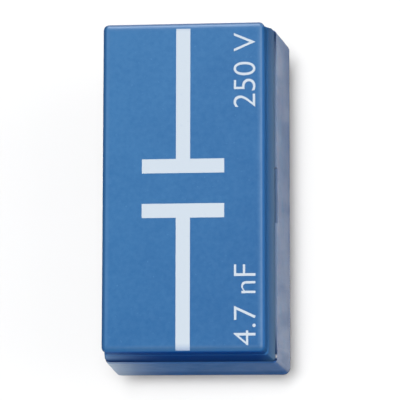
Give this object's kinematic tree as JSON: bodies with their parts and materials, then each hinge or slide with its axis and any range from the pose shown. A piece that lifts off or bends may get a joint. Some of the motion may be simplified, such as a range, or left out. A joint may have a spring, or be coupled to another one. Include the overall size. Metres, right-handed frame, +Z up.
{
  "type": "plug-in capacitor element",
  "caption": "Oblong plug-in capacitor for an experiment board: blue cover with a printed symbol, clear base that holds a film capacitor, and spring plugs underneath.",
  "frame": {"origin": "middle of the seating face under the base, halfway between the plugs", "axes": "+Z up through the printed roof, +Y along the length from the front plug to the rear plug, +X across the width"},
  "size_m": [0.0264, 0.05, 0.042],
  "materials": {
    "blue_cover_plastic": "satin moulded plastic",
    "clear_base_plastic": "clear moulded plastic with a grey-blue tint",
    "white_ink": "screen-printed ink",
    "nickel_plating": "turned brass with bright nickel plating",
    "spring_bronze": "bright spring bronze sheet",
    "tinned_brass": "stamped and tinned sheet",
    "zinc_steel": "zinc-plated steel",
    "yellow_wrap": "wound polyester tape",
    "resin_seal": "cast resin",
    "tinned_wire": "tinned copper wire",
    "solder": "bright solder"
  },
  "bodies": {
    "root": {"cover": "blue_cover_plastic", "base_housing": "clear_base_plastic", "printed_symbol": "white_ink", "plug_pin_front": "nickel_plating", "plug_pin_rear": "nickel_plating", "contact_spring_front": "spring_bronze", "contact_spring_rear": "spring_bronze", "solder_tag_front": "tinned_brass", "solder_tag_rear": "tinned_brass", "lock_washer_front": "zinc_steel", "lock_washer_rear": "zinc_steel", "hex_nut_front": "zinc_steel", "hex_nut_rear": "zinc_steel", "capacitor_body": "yellow_wrap", "end_seal_front": "resin_seal", "end_seal_rear": "resin_seal", "lead_front": "tinned_wire", "lead_rear": "tinned_wire", "solder_joint_front": "solder", "solder_joint_rear": "solder"}
  },
  "joints": []
}
